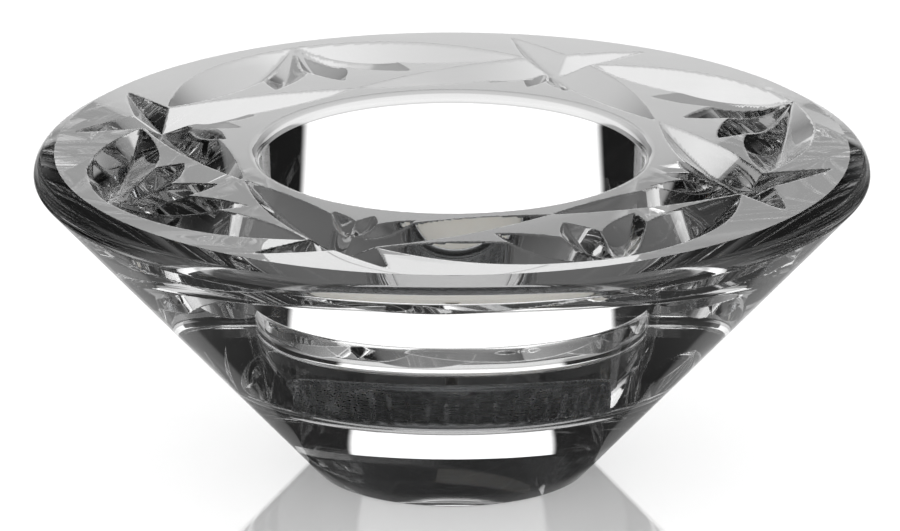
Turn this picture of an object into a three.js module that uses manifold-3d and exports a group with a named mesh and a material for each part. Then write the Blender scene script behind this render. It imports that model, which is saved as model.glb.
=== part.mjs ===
// Votive candle holder: a flared cone of clear crystal whose flat rim is cut with fans of leaves,
// and the tealight that stands loose in its candle well.
// Millimetres, +Z up. The origin is the middle of the base, on the surface that the holder stands on.
import * as THREE from "three";
import { mergeVertices } from "three/addons/utils/BufferGeometryUtils.js";
import Module from "manifold-3d";

const wasm = await Module();
wasm.setup();

// Glass cone
const RIM_DIAMETER = 100;
const BASE_DIAMETER = 32.8;
const HEIGHT = 39.3;
const RIM_EDGE_DEPTH = 2.8; // how far the rim's edge comes down the side
const RIM_EDGE_WIDTH = 2.5; // how far the rim's edge runs in over the top
const RIM_EDGE_SLOPE = 30; // degrees that the edge falls away from the flat, before it rounds over
const RIM_EDGE_ROUND = 1.9;
const BASE_EDGE_ROUND = 0.4;
const BASE_RING_WIDTH = 5.4; // ring that the holder stands on, out to the corner of base and cone
const RECESS_DEPTH = 1.2; // hollow ground under the base, inside the ring

// Candle well
const WELL_DIAMETER = 46; // at the lip
const WELL_TAPER = 1.1; // how much smaller the well's radius is at its floor
const WELL_FOOT_WALL = 7.5; // glass between the foot of the well and the cone, measured level
const WELL_FOOT_ROUND = 2.4;
const LIP_ROUND = 1.7;

// Leaf cuts in the rim. They lie on the flat between the lip's rounding and the rim's edge.
// A turn is a share of one repeat, and the other numbers are shares of the flat's width.
const REPEATS = 4;
const FIRST_FAN_ANGLE = 25.2; // degrees from the front
const LEAF_DEPTH_RATIO = 0.35; // depth of a leaf for its breadth
const LEAF_CUTTER_RISE = 1; // how far a leaf's cutter stands above the flat
const LARGE_FAN_ROOT = 0.908;
const LARGE_FAN_LEAVES = [
  { turn: 0, tip: 0.259, breadth: 0.245 },
  { turn: 0.182, tip: 0.329, breadth: 0.268 },
  { turn: 0.426, tip: 0.596, breadth: 0.36 },
];
const SMALL_FAN_ROOT = 0.448;
const SMALL_FAN_LEAVES = [
  { turn: 0, tip: 0.093, breadth: 0.132 },
  { turn: 0.119, tip: 0.118, breadth: 0.149 },
];
const CROSS_LEAF_BREADTH = 0.3; // long leaves that cross in pairs between the large fans
const CROSS_LEAF_INNER = { turn: 0.497, share: 0.113 };
const CROSS_LEAF_OUTER = { turn: 0.12, share: 0.93 };

// Tealight
const CUP_CLEARANCE = 2.6; // from the cup's rim to the foot of the well's wall
const CUP_HEIGHT = 10.4;
const CUP_SHEET = 0.4;
const CUP_RIM_OVERHANG = 0.7; // how far the rolled rim stands out past the side
const CUP_RIM_THICKNESS = 0.9;
const CUP_DRAFT = 0.5; // how much narrower the cup is at its foot
const CUP_FOOT_ROUND = 1;
const WAX_BELOW_RIM = 1.6;
const WAX_EDGE_ROUND = 0.5;
const POUR_GAP = 0.3; // between the wax and what it was poured round
const SUSTAINER_DIAMETER = 14;
const SUSTAINER_SHEET = 0.4;
const SUSTAINER_NECK = 3.6; // height of the crimped neck above the plate
const WICK_DIAMETER = 1.6;
const WICK_FIT = 0.3; // between the wick and the neck
const WICK_ABOVE_WAX = 6.4;

// Colour and finish of each material
const CRYSTAL = { color: 0xeef2f3, roughness: 0.03, metalness: 0 };
const ALUMINIUM = { color: 0xc9cccf, roughness: 0.3, metalness: 1 };
const PARAFFIN = { color: 0xf3efe4, roughness: 0.45, metalness: 0 };
const TINNED_STEEL = { color: 0xb4b6b8, roughness: 0.4, metalness: 1 };
const COTTON = { color: 0xe8e2d2, roughness: 0.9, metalness: 0 };

// Fineness of the faceted surfaces
const GLASS_SEGMENTS = 72;
const CUP_SEGMENTS = 40;
const SUSTAINER_SEGMENTS = 24;
const WICK_SEGMENTS = 12;
const ROUND_STEPS = 2; // half the straight steps in each round
const LEAF_STATIONS = 8;
const VERTEX_TOLERANCE = 1e-4;

// Sizes that follow from the driving ones
const rimRadius = RIM_DIAMETER / 2;
const baseRadius = BASE_DIAMETER / 2;
const recessRadius = baseRadius - BASE_RING_WIDTH;
const shoulderHeight = HEIGHT - RIM_EDGE_DEPTH;
const coneSlope = (rimRadius - baseRadius) / shoulderHeight;
const coneAngle = THREE.MathUtils.radToDeg(Math.atan(coneSlope)); // from upright
const wellRadius = WELL_DIAMETER / 2;
const wellFootRadius = wellRadius - WELL_TAPER;
const wellFloor = (wellFootRadius + WELL_FOOT_WALL - baseRadius) / coneSlope;
const flatInner = wellRadius + LIP_ROUND;
const flatOuter = rimRadius - RIM_EDGE_WIDTH;
const flatWidth = flatOuter - flatInner;
const cupRimRadius = wellFootRadius - CUP_CLEARANCE;
const cupSideRadius = cupRimRadius - CUP_RIM_OVERHANG;
const cupFootRadius = cupSideRadius - CUP_DRAFT;
const waxTop = CUP_HEIGHT - WAX_BELOW_RIM;
const wickRadius = WICK_DIAMETER / 2;
const neckBore = wickRadius + WICK_FIT;
const neckRadius = neckBore + SUSTAINER_SHEET;
const neckTop = CUP_SHEET + SUSTAINER_SHEET + SUSTAINER_NECK;

// A profile of radius against height, turned about the Z axis.
function turned(path, segments) {
  const geometry = new THREE.LatheGeometry(path.getPoints(ROUND_STEPS), segments);
  return geometry.rotateX(Math.PI / 2);
}

// A round on the profile, about a centre, from one angle to another in degrees.
function round(path, centreX, centreY, radiusX, radiusY, fromAngle, toAngle) {
  const from = THREE.MathUtils.degToRad(fromAngle);
  const to = THREE.MathUtils.degToRad(toAngle);
  path.absellipse(centreX, centreY, radiusX, radiusY, from, to, toAngle < fromAngle);
}

// A closed geometry as a solid that can be cut.
function solid(geometry) {
  const bare = new THREE.BufferGeometry();
  bare.setAttribute("position", geometry.getAttribute("position"));
  bare.setIndex(geometry.index);
  const merged = mergeVertices(bare, VERTEX_TOLERANCE);
  const vertProperties = new Float32Array(merged.getAttribute("position").array);
  const triVerts = new Uint32Array(merged.index.array);
  return new wasm.Manifold(new wasm.Mesh({ numProp: 3, vertProperties, triVerts }));
}

// A cut solid as a geometry again.
function geometryOf(cutSolid) {
  const mesh = cutSolid.getMesh();
  const geometry = new THREE.BufferGeometry();
  geometry.setAttribute("position", new THREE.BufferAttribute(mesh.vertProperties, mesh.numProp));
  geometry.setIndex(new THREE.BufferAttribute(mesh.triVerts, 1));
  geometry.computeVertexNormals();
  return geometry;
}

// The uncut blank: recessed base, cone, bevelled rim, flat top and candle well.
function glassBlank() {
  const profile = new THREE.Path();
  const domeRadius = (recessRadius ** 2 + RECESS_DEPTH ** 2) / (2 * RECESS_DEPTH);
  const domeEdge = THREE.MathUtils.radToDeg(Math.acos(recessRadius / domeRadius));
  round(profile, 0, RECESS_DEPTH - domeRadius, domeRadius, domeRadius, 90, domeEdge);
  const edgeSetback = BASE_EDGE_ROUND * Math.tan(THREE.MathUtils.degToRad((90 - coneAngle) / 2));
  const edgeCentre = baseRadius - edgeSetback;
  round(profile, edgeCentre, BASE_EDGE_ROUND, BASE_EDGE_ROUND, BASE_EDGE_ROUND, -90, -coneAngle);
  profile.lineTo(rimRadius, shoulderHeight);
  const bevel = THREE.MathUtils.degToRad(RIM_EDGE_SLOPE);
  const bevelFoot = HEIGHT - RIM_EDGE_WIDTH * Math.tan(bevel);
  const rimSetback = RIM_EDGE_ROUND * Math.tan(Math.PI / 4 - bevel / 2);
  round(profile, rimRadius - RIM_EDGE_ROUND, bevelFoot - rimSetback, RIM_EDGE_ROUND, RIM_EDGE_ROUND,
    0, 90 - RIM_EDGE_SLOPE);
  profile.lineTo(flatOuter, HEIGHT);
  round(profile, flatInner, HEIGHT - LIP_ROUND, LIP_ROUND, LIP_ROUND, 90, 180);
  const footCentre = wellFootRadius - WELL_FOOT_ROUND;
  round(profile, footCentre, wellFloor + WELL_FOOT_ROUND, WELL_FOOT_ROUND, WELL_FOOT_ROUND, 0, -90);
  profile.lineTo(0, wellFloor);
  return turned(profile, GLASS_SEGMENTS);
}

// A place on the flat top: an angle from the front in degrees, and a share of the way from lip to rim.
function onFlat(angle, share) {
  const radius = flatInner + share * flatWidth;
  const turn = THREE.MathUtils.degToRad(angle);
  return new THREE.Vector2(radius * Math.sin(turn), -radius * Math.cos(turn));
}

// A keel whose two flanks meet along its bottom edge: it leaves a mitre-cut leaf, pointed at both ends and
// widest and deepest halfway. The keel is convex, so it is the hull of its bottom edge and its two upper edges.
function leafCutter(root, tip, breadthShare) {
  const halfBreadth = (breadthShare * flatWidth) / 2;
  const flankSlope = 2 * LEAF_DEPTH_RATIO;
  const overhang = LEAF_CUTTER_RISE / flankSlope;
  const across = tip.clone().sub(root).normalize().rotateAround(new THREE.Vector2(), Math.PI / 2);
  const points = [];
  for (let station = 0; station <= LEAF_STATIONS; station++) {
    const share = station / LEAF_STATIONS;
    const reach = halfBreadth * (1 - (2 * share - 1) ** 2);
    const middle = root.clone().lerp(tip, share);
    points.push([middle.x, middle.y, HEIGHT - reach * flankSlope]);
    for (const side of [-1, 1]) {
      const edge = middle.clone().addScaledVector(across, side * (reach + overhang));
      points.push([edge.x, edge.y, HEIGHT + LEAF_CUTTER_RISE]);
    }
  }
  return wasm.Manifold.hull(points);
}

// A fan of leaves that share one root, spread evenly to both sides of its axis.
function fanCutters(axisAngle, rootShare, leaves, pitch) {
  const root = onFlat(axisAngle, rootShare);
  const cutters = [];
  for (const leaf of leaves) {
    const sides = leaf.turn === 0 ? [0] : [-1, 1];
    for (const side of sides) {
      const tip = onFlat(axisAngle + side * leaf.turn * pitch, leaf.tip);
      cutters.push(leafCutter(root, tip, leaf.breadth));
    }
  }
  return cutters;
}

// The two long leaves that cross over a small fan.
function crossCutters(axisAngle, pitch) {
  return [-1, 1].map((side) => {
    const inner = onFlat(axisAngle - side * CROSS_LEAF_INNER.turn * pitch, CROSS_LEAF_INNER.share);
    const outer = onFlat(axisAngle + side * CROSS_LEAF_OUTER.turn * pitch, CROSS_LEAF_OUTER.share);
    return leafCutter(inner, outer, CROSS_LEAF_BREADTH);
  });
}

function cutGlass() {
  const pitch = 360 / REPEATS;
  let glass = solid(glassBlank());
  for (let repeat = 0; repeat < REPEATS; repeat++) {
    const largeAxis = FIRST_FAN_ANGLE + repeat * pitch;
    const smallAxis = largeAxis + pitch / 2;
    const cutters = [
      ...fanCutters(largeAxis, LARGE_FAN_ROOT, LARGE_FAN_LEAVES, pitch),
      ...fanCutters(smallAxis, SMALL_FAN_ROOT, SMALL_FAN_LEAVES, pitch),
      ...crossCutters(smallAxis, pitch),
    ];
    for (const cutter of cutters) glass = glass.subtract(cutter);
  }
  return geometryOf(glass);
}

// The pressed cup, standing on its own floor at height 0.
function tealightCup() {
  const profile = new THREE.Path();
  profile.moveTo(0, 0);
  profile.lineTo(cupFootRadius - CUP_FOOT_ROUND, 0);
  round(profile, cupFootRadius - CUP_FOOT_ROUND, CUP_FOOT_ROUND, CUP_FOOT_ROUND, CUP_FOOT_ROUND, -90, 0);
  profile.lineTo(cupSideRadius, CUP_HEIGHT - CUP_RIM_THICKNESS);
  const beadRadius = CUP_RIM_THICKNESS / 2;
  round(profile, cupRimRadius - beadRadius, CUP_HEIGHT - beadRadius, beadRadius, beadRadius, -90, 90);
  profile.lineTo(cupSideRadius - CUP_SHEET, CUP_HEIGHT);
  profile.lineTo(cupFootRadius - CUP_SHEET, CUP_SHEET + CUP_FOOT_ROUND);
  profile.lineTo(cupFootRadius - CUP_FOOT_ROUND, CUP_SHEET);
  profile.lineTo(0, CUP_SHEET);
  return turned(profile, CUP_SEGMENTS);
}

// The radius of the wax at a height above the cup's foot, which follows the cup's sloping side.
function waxRadius(height) {
  const rise = (height - CUP_FOOT_ROUND) / (CUP_HEIGHT - CUP_RIM_THICKNESS - CUP_FOOT_ROUND);
  return cupFootRadius + rise * CUP_DRAFT - CUP_SHEET - POUR_GAP;
}

// The wax: a disc that fills the cup, with a stepped bore round the sustainer and the wick.
function tealightWax() {
  const profile = new THREE.Path();
  const plateBore = SUSTAINER_DIAMETER / 2 + POUR_GAP;
  const plateRoof = CUP_SHEET + SUSTAINER_SHEET + POUR_GAP;
  const wickBore = wickRadius + POUR_GAP;
  profile.moveTo(plateBore, CUP_SHEET);
  profile.lineTo(cupFootRadius - CUP_FOOT_ROUND - POUR_GAP, CUP_SHEET);
  profile.lineTo(waxRadius(CUP_SHEET + CUP_FOOT_ROUND), CUP_SHEET + CUP_FOOT_ROUND);
  const edgeRadius = waxRadius(waxTop) - WAX_EDGE_ROUND;
  round(profile, edgeRadius, waxTop - WAX_EDGE_ROUND, WAX_EDGE_ROUND, WAX_EDGE_ROUND, 0, 90);
  profile.lineTo(wickBore, waxTop);
  profile.lineTo(wickBore, neckTop + POUR_GAP);
  profile.lineTo(neckRadius + POUR_GAP, neckTop + POUR_GAP);
  profile.lineTo(neckRadius + POUR_GAP, plateRoof);
  profile.lineTo(plateBore, plateRoof);
  profile.closePath();
  return turned(profile, CUP_SEGMENTS);
}

// The wick sustainer: a thin plate on the cup's floor with a crimped neck that holds the wick upright.
function wickSustainer() {
  const profile = new THREE.Path();
  const plateTop = CUP_SHEET + SUSTAINER_SHEET;
  profile.moveTo(neckBore, CUP_SHEET);
  profile.lineTo(SUSTAINER_DIAMETER / 2, CUP_SHEET);
  profile.lineTo(SUSTAINER_DIAMETER / 2, plateTop);
  profile.lineTo(neckRadius, plateTop);
  profile.lineTo(neckRadius, neckTop);
  profile.lineTo(neckBore, neckTop);
  profile.closePath();
  return turned(profile, SUSTAINER_SEGMENTS);
}

// The wick, from the cup's floor through the neck to above the wax, with a rounded end.
function tealightWick() {
  const profile = new THREE.Path();
  const top = waxTop + WICK_ABOVE_WAX;
  profile.moveTo(0, CUP_SHEET);
  profile.lineTo(wickRadius, CUP_SHEET);
  round(profile, 0, top - wickRadius, wickRadius, wickRadius, 0, 90);
  return turned(profile, WICK_SEGMENTS);
}

// A named mesh with the colour and finish of its material.
function piece(name, geometry, finish) {
  const mesh = new THREE.Mesh(geometry, new THREE.MeshStandardMaterial(finish));
  mesh.name = name;
  return mesh;
}

const tealight = new THREE.Group();
tealight.position.z = wellFloor;
tealight.add(piece("tealight_cup", tealightCup(), ALUMINIUM));
tealight.add(piece("tealight_wax", tealightWax(), PARAFFIN));
tealight.add(piece("wick_sustainer", wickSustainer(), TINNED_STEEL));
tealight.add(piece("tealight_wick", tealightWick(), COTTON));

const candleHolder = new THREE.Group();
candleHolder.add(piece("glass_holder", cutGlass(), CRYSTAL));
candleHolder.add(tealight);

export default candleHolder;
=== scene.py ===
"""Looks of the crystal votive candle holder and its tealight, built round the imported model."""

import math

import bpy
import numpy as np
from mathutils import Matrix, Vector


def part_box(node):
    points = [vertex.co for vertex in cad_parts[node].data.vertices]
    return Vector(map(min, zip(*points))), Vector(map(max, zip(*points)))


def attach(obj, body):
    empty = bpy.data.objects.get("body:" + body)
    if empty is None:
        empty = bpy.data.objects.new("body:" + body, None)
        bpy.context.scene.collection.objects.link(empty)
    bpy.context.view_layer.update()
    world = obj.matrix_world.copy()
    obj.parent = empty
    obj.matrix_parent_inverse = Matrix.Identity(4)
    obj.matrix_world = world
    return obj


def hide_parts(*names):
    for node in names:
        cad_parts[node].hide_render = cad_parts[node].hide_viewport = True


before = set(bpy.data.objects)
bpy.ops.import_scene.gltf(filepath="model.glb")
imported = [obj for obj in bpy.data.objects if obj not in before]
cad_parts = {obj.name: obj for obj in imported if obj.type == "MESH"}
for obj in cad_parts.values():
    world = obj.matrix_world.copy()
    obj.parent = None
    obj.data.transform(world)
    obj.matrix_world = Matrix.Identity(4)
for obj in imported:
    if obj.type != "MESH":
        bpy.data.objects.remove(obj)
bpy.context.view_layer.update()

bl_info = {
    "name": "Crystal Votive Holder",
    "version": (1, 0, 0),
    "blender": (4, 5, 0),
    "location": "3D View > Sidebar > Votive",
    "description": "Builds the cut crystal votive holder, its tealight and a small studio",
    "category": "Object",
}

# Lengths are in millimetres where nothing else is said.
MM = 0.001

# Camera: the photograph's width in pixels, the sensor's width, and how far it sees in metres
PHOTO_WIDTH = 900
SENSOR_WIDTH = 36.0
CAMERA_REACH = 50

# Settings and values that several nodes share. Most of a noise's values lie in its span. Light Path counts
# whole bounces, so less than half a bounce is none.
SMOOTH = {"interpolation_type": "SMOOTHSTEP"}
MULTIPLY = {"operation": "MULTIPLY"}
LESS_THAN = {"operation": "LESS_THAN"}
NOISE_SPAN = {"From_Min": 0.3, "From_Max": 0.7}
WHITE = (1, 1, 1, 1)
HALF_BOUNCE = 0.5
BOUNCES = {"max_bounces": 32, "glossy_bounces": 24, "transmission_bounces": 32}

# The innermost ring of a turned surface. One middle point closes it.
CENTRE_RING = 0.4

# Crystal body: the radius and steps of each rounding, from the hollow under the base over the rim to the
# well. The hollow's rings lie between two shares of its dome, and a short straight run joins it to the base.
GLASS_ROUNDS = {"recess": (1.0, 2), "base": (0.4, 3), "shoulder": (0.5, 3), "rim": (1.9, 5),
                "bevel": (0.1, 1), "lip": (1.62, 6), "well_foot": (2.4, 7)}
DOME_RINGS = 4
DOME_SHARES = (0.02, 0.97)
RECESS_RUN = 0.2

# Leaf cuts: the turn, tip and breadth of each leaf in half a fan, and the turn and place of both ends of a
# crossing leaf. Turns are shares of one repeat, and places and breadths are shares of the flat's width.
REPEATS = 4
LARGE_FAN_ROOT = 0.908
LARGE_FAN_LEAVES = ((0.0, 0.259, 0.245), (0.182, 0.329, 0.268), (0.426, 0.596, 0.36))
SMALL_FAN_ROOT = 0.448
SMALL_FAN_LEAVES = ((0.0, 0.093, 0.132), (0.119, 0.118, 0.149))
CROSS_LEAF_BREADTH = 0.3
CROSS_LEAF_INNER = (0.497, 0.113)
CROSS_LEAF_OUTER = (0.12, 0.93)

# Aluminium cup: the radius and steps of each rounding, and the steps of the straight runs between them
CUP_OVERHANG = 0.7
CUP_DRAFT = 0.5
CUP_BEAD = 0.9
CUP_ROUNDS = {"foot": (1.0, 6), "under_rim": (0.25, 4), "rim_lower": (0.42, 5), "rim_upper": (0.42, 5),
              "inner_lip": (0.3, 4), "inner_foot": (0.8, 5)}
CUP_RUN_STEPS = (3, 14, 1, 1, 2, 14, 3)
COLUMNS_PER_FLUTE = 8
FLUTE_FOOT = 1.2
FLUTE_HEAD = 1.0
CUP_FLOOR_TOP = 0.5
CUP_FLOOR_RAISE = 0.3
CUP_FLOOR_INSET = 2.0
CUP_FLOOR_SLOPE = 1.5
CUP_GAP = 0.02

# Wax, bored for the sustainer's plate, its neck and the wick: roundings and straight runs as for the cup
PLATE_BORE = 7.3
PLATE_ROOF = 0.7
PLATE_RUN = 0.05
NECK_BORE = 1.8
NECK_ROOF = 4.4
WICK_BORE = 1.1
WAX_FOOT_INSET = 1.4
WAX_FOOT_RISE = 1.0
WAX_DRAFT = 0.3
WAX_ROUNDS = {"foot": (0.3, 2), "foot_bevel": (0.3, 2), "top_edge": (0.5, 6), "wick_bore": (0.2, 3),
              "wick_bore_foot": (0.1, 1), "neck_roof": (0.1, 1), "neck_bore_foot": (0.1, 1),
              "plate_roof": (0.1, 1)}
WAX_RUN_STEPS = (2, 1, 4, 30, 2, 1, 2, 2, 1)
WAX_COLUMNS = 160
WAX_SINK_POWER = 6

# Wick: the length of one braid, its strands as shares of the radius, and its end as shares of the length
WICK_ROWS = 120
WICK_COLUMNS = 48
BRAID_LENGTH = 3.2
BRAID_CORE = 0.82
BRAID_SWELL = 0.16
WICK_END = 1.004
WICK_END_RUN = 0.025
WICK_END_LEAST = 0.25

# Finishes: the breadth of a pattern's features, how they are drawn out along X, Y and Z, and their depth
SCUFF_BREADTH = 1.5
SCUFF_BAND = (0.02, 0.1)
SCUFF_ROUGHNESS = 0.3
LINE_BREADTH = 0.3
LINE_DRAWN = (0.03, 1.0, 1.0)
LINE_DEPTH = 0.004
DENT_BREADTH = 4.0
DENT_DEPTH = 0.06
WAX_SCATTER = 2.0
CLOUD_BREADTH = 6.0
PIT_BREADTH = 0.8
PIT_DEPTH = 0.03
FIBRE_BREADTH = 0.15
FIBRE_DRAWN = (1.0, 1.0, 0.2)
FIBRE_DEPTH = 0.05
CHAR_BAND = (0.4, 1.6)
CHAR_RAGGED = 0.8
BLOOM_BREADTH = 2.5
TIN_LINE_BREADTH = 0.25
TIN_LINE_DRAWN = (1.0, 0.04, 1.0)
TIN_LINE_DEPTH = 0.004

# How the floor changes with the angle from straight behind in degrees, or with the distance from the axis:
# each share runs between two places, from one value to another. Lift shapes the painted light that the
# camera sees, the rest the painted light and shade that glass shows.
FLOOR_SIDES = 64
FLOOR_FADES = {
    "behind": ("away", 22, 38, 1.0, 0.0),
    "aside": ("away", 30, 50, 0.0, 1.0),
    "under": ("reach", 16, 18, 1.0, 0.0),
    "lit": ("reach", 20, 80, 0.5, 1.0),
    "ring_start": ("reach", 30, 46, 0.0, 1.0),
    "ring_end": ("reach", 56, 90, 1.0, 0.0),
    "far": ("reach", 30, 80, 0.0, 1.0),
    "lift": ("reach", 60, 250, 1.0, 0.25),
}

# What glass and metal show of the room: each light's level, whether it shows only to plain rays, and how it
# fades by a measure between two angles in degrees, from one share to another. A plain ray was mirrored or
# passed through glass, but not both. Over its step the panel widens from its foot to its head.
PANEL_STEP = (14, 18)
SURROUND = (
    ("panel_level", False, (("past_panel", -1, 1, 1.0, 0.0), ("rise", 0, 4, 0.45, 1.0),
                            ("rise", 23, 27, 1.0, 0.5), ("rise", 36, 50, 1.0, 0.0))),
    ("front_level", False, (("away", 120, 150, 0.0, 1.0), ("rise", 13, 24, 1.0, 0.0))),
    ("side_level", True, (("away", 35, 55, 0.0, 1.0), ("rise", 26, 32, 0.0, 1.0),
                          ("rise", 55, 65, 1.0, 0.0))),
    ("open_level", True, (("away", 75, 95, 0.0, 1.0), ("rise", 30, 50, 1.0, 0.0))),
)

glass_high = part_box("glass_holder")[1]
cup_low, cup_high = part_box("tealight_cup")
wax_low, wax_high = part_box("tealight_wax")
wick_low, wick_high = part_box("tealight_wick")


def millimetres(metres):
    """A length from the frame in millimetres, rounded to a thousandth."""
    return round(metres / MM, 3)


class VotiveGlass(bpy.types.PropertyGroup):
    """Sizes of the crystal body in millimetres, and its colour."""

    rim_radius: bpy.props.FloatProperty(
        name="Rim radius", description="Half the width of the rim",
        default=millimetres(glass_high.x))
    height: bpy.props.FloatProperty(
        name="Height", description="From the table to the flat of the rim",
        default=millimetres(glass_high.z))
    base_radius: bpy.props.FloatProperty(
        name="Base radius", description="Where the cone meets the table", default=16.4)
    shoulder_height: bpy.props.FloatProperty(
        name="Shoulder height", description="Where the cone meets the rounded rim", default=36.5)
    bevel_slope: bpy.props.FloatProperty(
        name="Bevel slope", description="How steeply the rim's edge falls from the flat",
        default=math.radians(30), subtype="ANGLE")
    well_radius: bpy.props.FloatProperty(
        name="Well radius", description="Half the width of the candle well at the lip", default=23.0)
    well_foot_radius: bpy.props.FloatProperty(
        name="Well foot radius", description="Half the width of the candle well at its floor", default=21.9)
    well_floor: bpy.props.FloatProperty(
        name="Well floor", description="Height of the floor that the tealight stands on",
        default=millimetres(cup_low.z))
    recess_radius: bpy.props.FloatProperty(
        name="Recess radius", description="Half the width of the hollow under the base", default=11.0)
    recess_depth: bpy.props.FloatProperty(
        name="Recess depth", description="Depth of the hollow under the base", default=1.2)
    flat_inner: bpy.props.FloatProperty(
        name="Flat inner radius", description="Where the flat of the rim starts, at the lip", default=24.7)
    flat_outer: bpy.props.FloatProperty(
        name="Flat outer radius", description="Where the flat of the rim ends, at the bevel", default=47.5)
    first_fan_angle: bpy.props.FloatProperty(
        name="First fan angle", description="From the front to the first large fan",
        default=math.radians(25.2), subtype="ANGLE")
    leaf_depth_ratio: bpy.props.FloatProperty(
        name="Leaf depth", description="Depth of a leaf cut for its breadth", default=0.35)
    ridge_ease: bpy.props.FloatProperty(
        name="Ridge ease", description="How far polishing eases ridges and valleys: 0 is sharp, 1 is round",
        default=0.75, min=0, max=1, subtype="FACTOR")
    columns: bpy.props.IntProperty(
        name="Columns", description="Points round the body", default=760)
    flat_rings: bpy.props.IntProperty(
        name="Flat rings", description="Rings of points across the flat of the rim", default=90)
    polish_wave: bpy.props.FloatProperty(
        name="Polish wave", description="Breadth of the waves that polishing leaves", default=7.0)
    polish_depth: bpy.props.FloatProperty(
        name="Polish depth", description="Depth of the waves that polishing leaves", default=0.006,
        precision=4)
    colour: bpy.props.StringProperty(
        name="Crystal colour", description="sRGB hex", default="FDFDFD")


class VotiveTealight(bpy.types.PropertyGroup):
    """Sizes of the tealight in millimetres, and its colours."""

    flutes: bpy.props.IntProperty(
        name="Flutes", description="Pressed flutes round the cup's side", default=56)
    flute_depth: bpy.props.FloatProperty(
        name="Flute depth", description="How far the flutes stand out", default=0.12)
    sheet: bpy.props.FloatProperty(
        name="Sheet", description="Thickness of the aluminium", default=0.4)
    aluminium: bpy.props.StringProperty(
        name="Aluminium colour", description="sRGB hex", default="D9DBDD")
    wax: bpy.props.StringProperty(
        name="Wax colour", description="sRGB hex", default="E0DED8")
    wax_clouded: bpy.props.StringProperty(
        name="Clouded wax colour", description="sRGB hex", default="D2CFC7")
    wax_dish: bpy.props.FloatProperty(
        name="Wax dish", description="How far the wax sank in the middle as it cooled", default=0.35)
    char: bpy.props.StringProperty(
        name="Char colour", description="sRGB hex", default="1C1917")
    cotton: bpy.props.StringProperty(
        name="Cotton colour", description="sRGB hex", default="D8D4CA")
    tin: bpy.props.StringProperty(
        name="Tinned steel colour", description="sRGB hex", default="B9BBBD")
    tin_dulled: bpy.props.StringProperty(
        name="Dulled tin colour", description="sRGB hex", default="9DA0A3")


class VotiveStage(bpy.types.PropertyGroup):
    """The camera at the photograph's angle, the floor and the light."""

    camera_distance: bpy.props.FloatProperty(
        name="Camera distance", description="From the camera to the point it looks at", default=1.70922,
        unit="LENGTH")
    camera_elevation: bpy.props.FloatProperty(
        name="Camera elevation", description="Angle above the horizon", default=math.radians(18.222),
        subtype="ANGLE")
    target_height: bpy.props.FloatProperty(
        name="Target height", description="Height of the point on the axis that the camera looks at",
        default=0.024847, unit="LENGTH")
    focal_pixels: bpy.props.FloatProperty(
        name="Focal length", description="Focal length in pixels of the photograph", default=14275.3,
        subtype="PIXEL")
    axis_offset: bpy.props.FloatProperty(
        name="Axis offset", description="Pixels from the photograph's middle to the object's axis",
        default=2.0, subtype="PIXEL")
    floor_radius: bpy.props.FloatProperty(
        name="Floor radius", description="Half the width of the floor", default=3.0, unit="LENGTH")
    floor_colour: bpy.props.StringProperty(
        name="Floor colour", description="sRGB hex of the floor as the camera sees it", default="F2F2F2")
    # Painted light: the floor under the base glows as glass shows it, a painted pool of light.
    painted_light_beneath: bpy.props.FloatProperty(
        name="Glow beneath", description="Brightness of the floor under the base, as glass shows it",
        default=0.6)
    # Painted light: the floor behind the object, and further out, glows as glass shows it.
    painted_light_behind: bpy.props.FloatProperty(
        name="Glow behind", description="Brightness of the lit floor behind, as glass shows it",
        default=0.6)
    # Painted shade: the floor close beside the object glows only dimly as glass shows it.
    painted_shade_beside: bpy.props.FloatProperty(
        name="Glow beside", description="Brightness of the floor close beside, as glass shows it",
        default=0.06)
    # Painted light and shade: a paler glowing ring of floor below the rim's edge, as glass shows it.
    painted_light_ring: bpy.props.FloatProperty(
        name="Glow ring", description="Brightness of the floor below the rim's edge, as glass shows it",
        default=0.2)
    # Painted light: whiteness glowing from the floor near the object, for the camera only.
    painted_floor_light: bpy.props.FloatProperty(
        name="Floor lift", description="Whiteness added to the floor near the object, for the camera only",
        default=0.1)
    floor_gloss: bpy.props.FloatProperty(
        name="Floor gloss", description="Share of the light that the floor mirrors", default=0.34,
        min=0, max=1, subtype="FACTOR")
    panel_level: bpy.props.FloatProperty(
        name="Panel level", description="Brightness of the panel behind the object, as glass shows it",
        default=1.5)
    panel_foot: bpy.props.FloatProperty(
        name="Panel foot", description="Half the width of the panel near the floor",
        default=math.radians(13.5), subtype="ANGLE")
    panel_head: bpy.props.FloatProperty(
        name="Panel head", description="Half the width of the panel above its foot",
        default=math.radians(21), subtype="ANGLE")
    soft_level: bpy.props.FloatProperty(
        name="Soft level", description="Brightness of the soft light on wax, cotton and floor",
        default=0.95)
    front_level: bpy.props.FloatProperty(
        name="Front level", description="Brightness of the low front of the room, as glass shows it",
        default=0.35)
    side_level: bpy.props.FloatProperty(
        name="Side level", description="Brightness of the high sides, mirrored or seen straight through",
        default=0.6)
    open_level: bpy.props.FloatProperty(
        name="Open level",
        description="Brightness of the low sides and front, mirrored or seen straight through", default=1.2)
    fill_level: bpy.props.FloatProperty(
        name="Fill level", description="Brightness of the rest of the room, as glass shows it",
        default=0.01)


def per_metre(size):
    """Scale of a noise whose features are of a size in millimetres."""
    return 1 / (size * MM)


def linear(hex_colour):
    """An sRGB hex colour as linear red, green, blue and alpha."""
    srgb = np.array([int(hex_colour[i:i + 2], 16) for i in (0, 2, 4)]) / 255
    rgb = np.where(srgb <= 0.04045, srgb / 12.92, ((srgb + 0.055) / 1.055) ** 2.4)
    return (*rgb.tolist(), 1.0)


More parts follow.
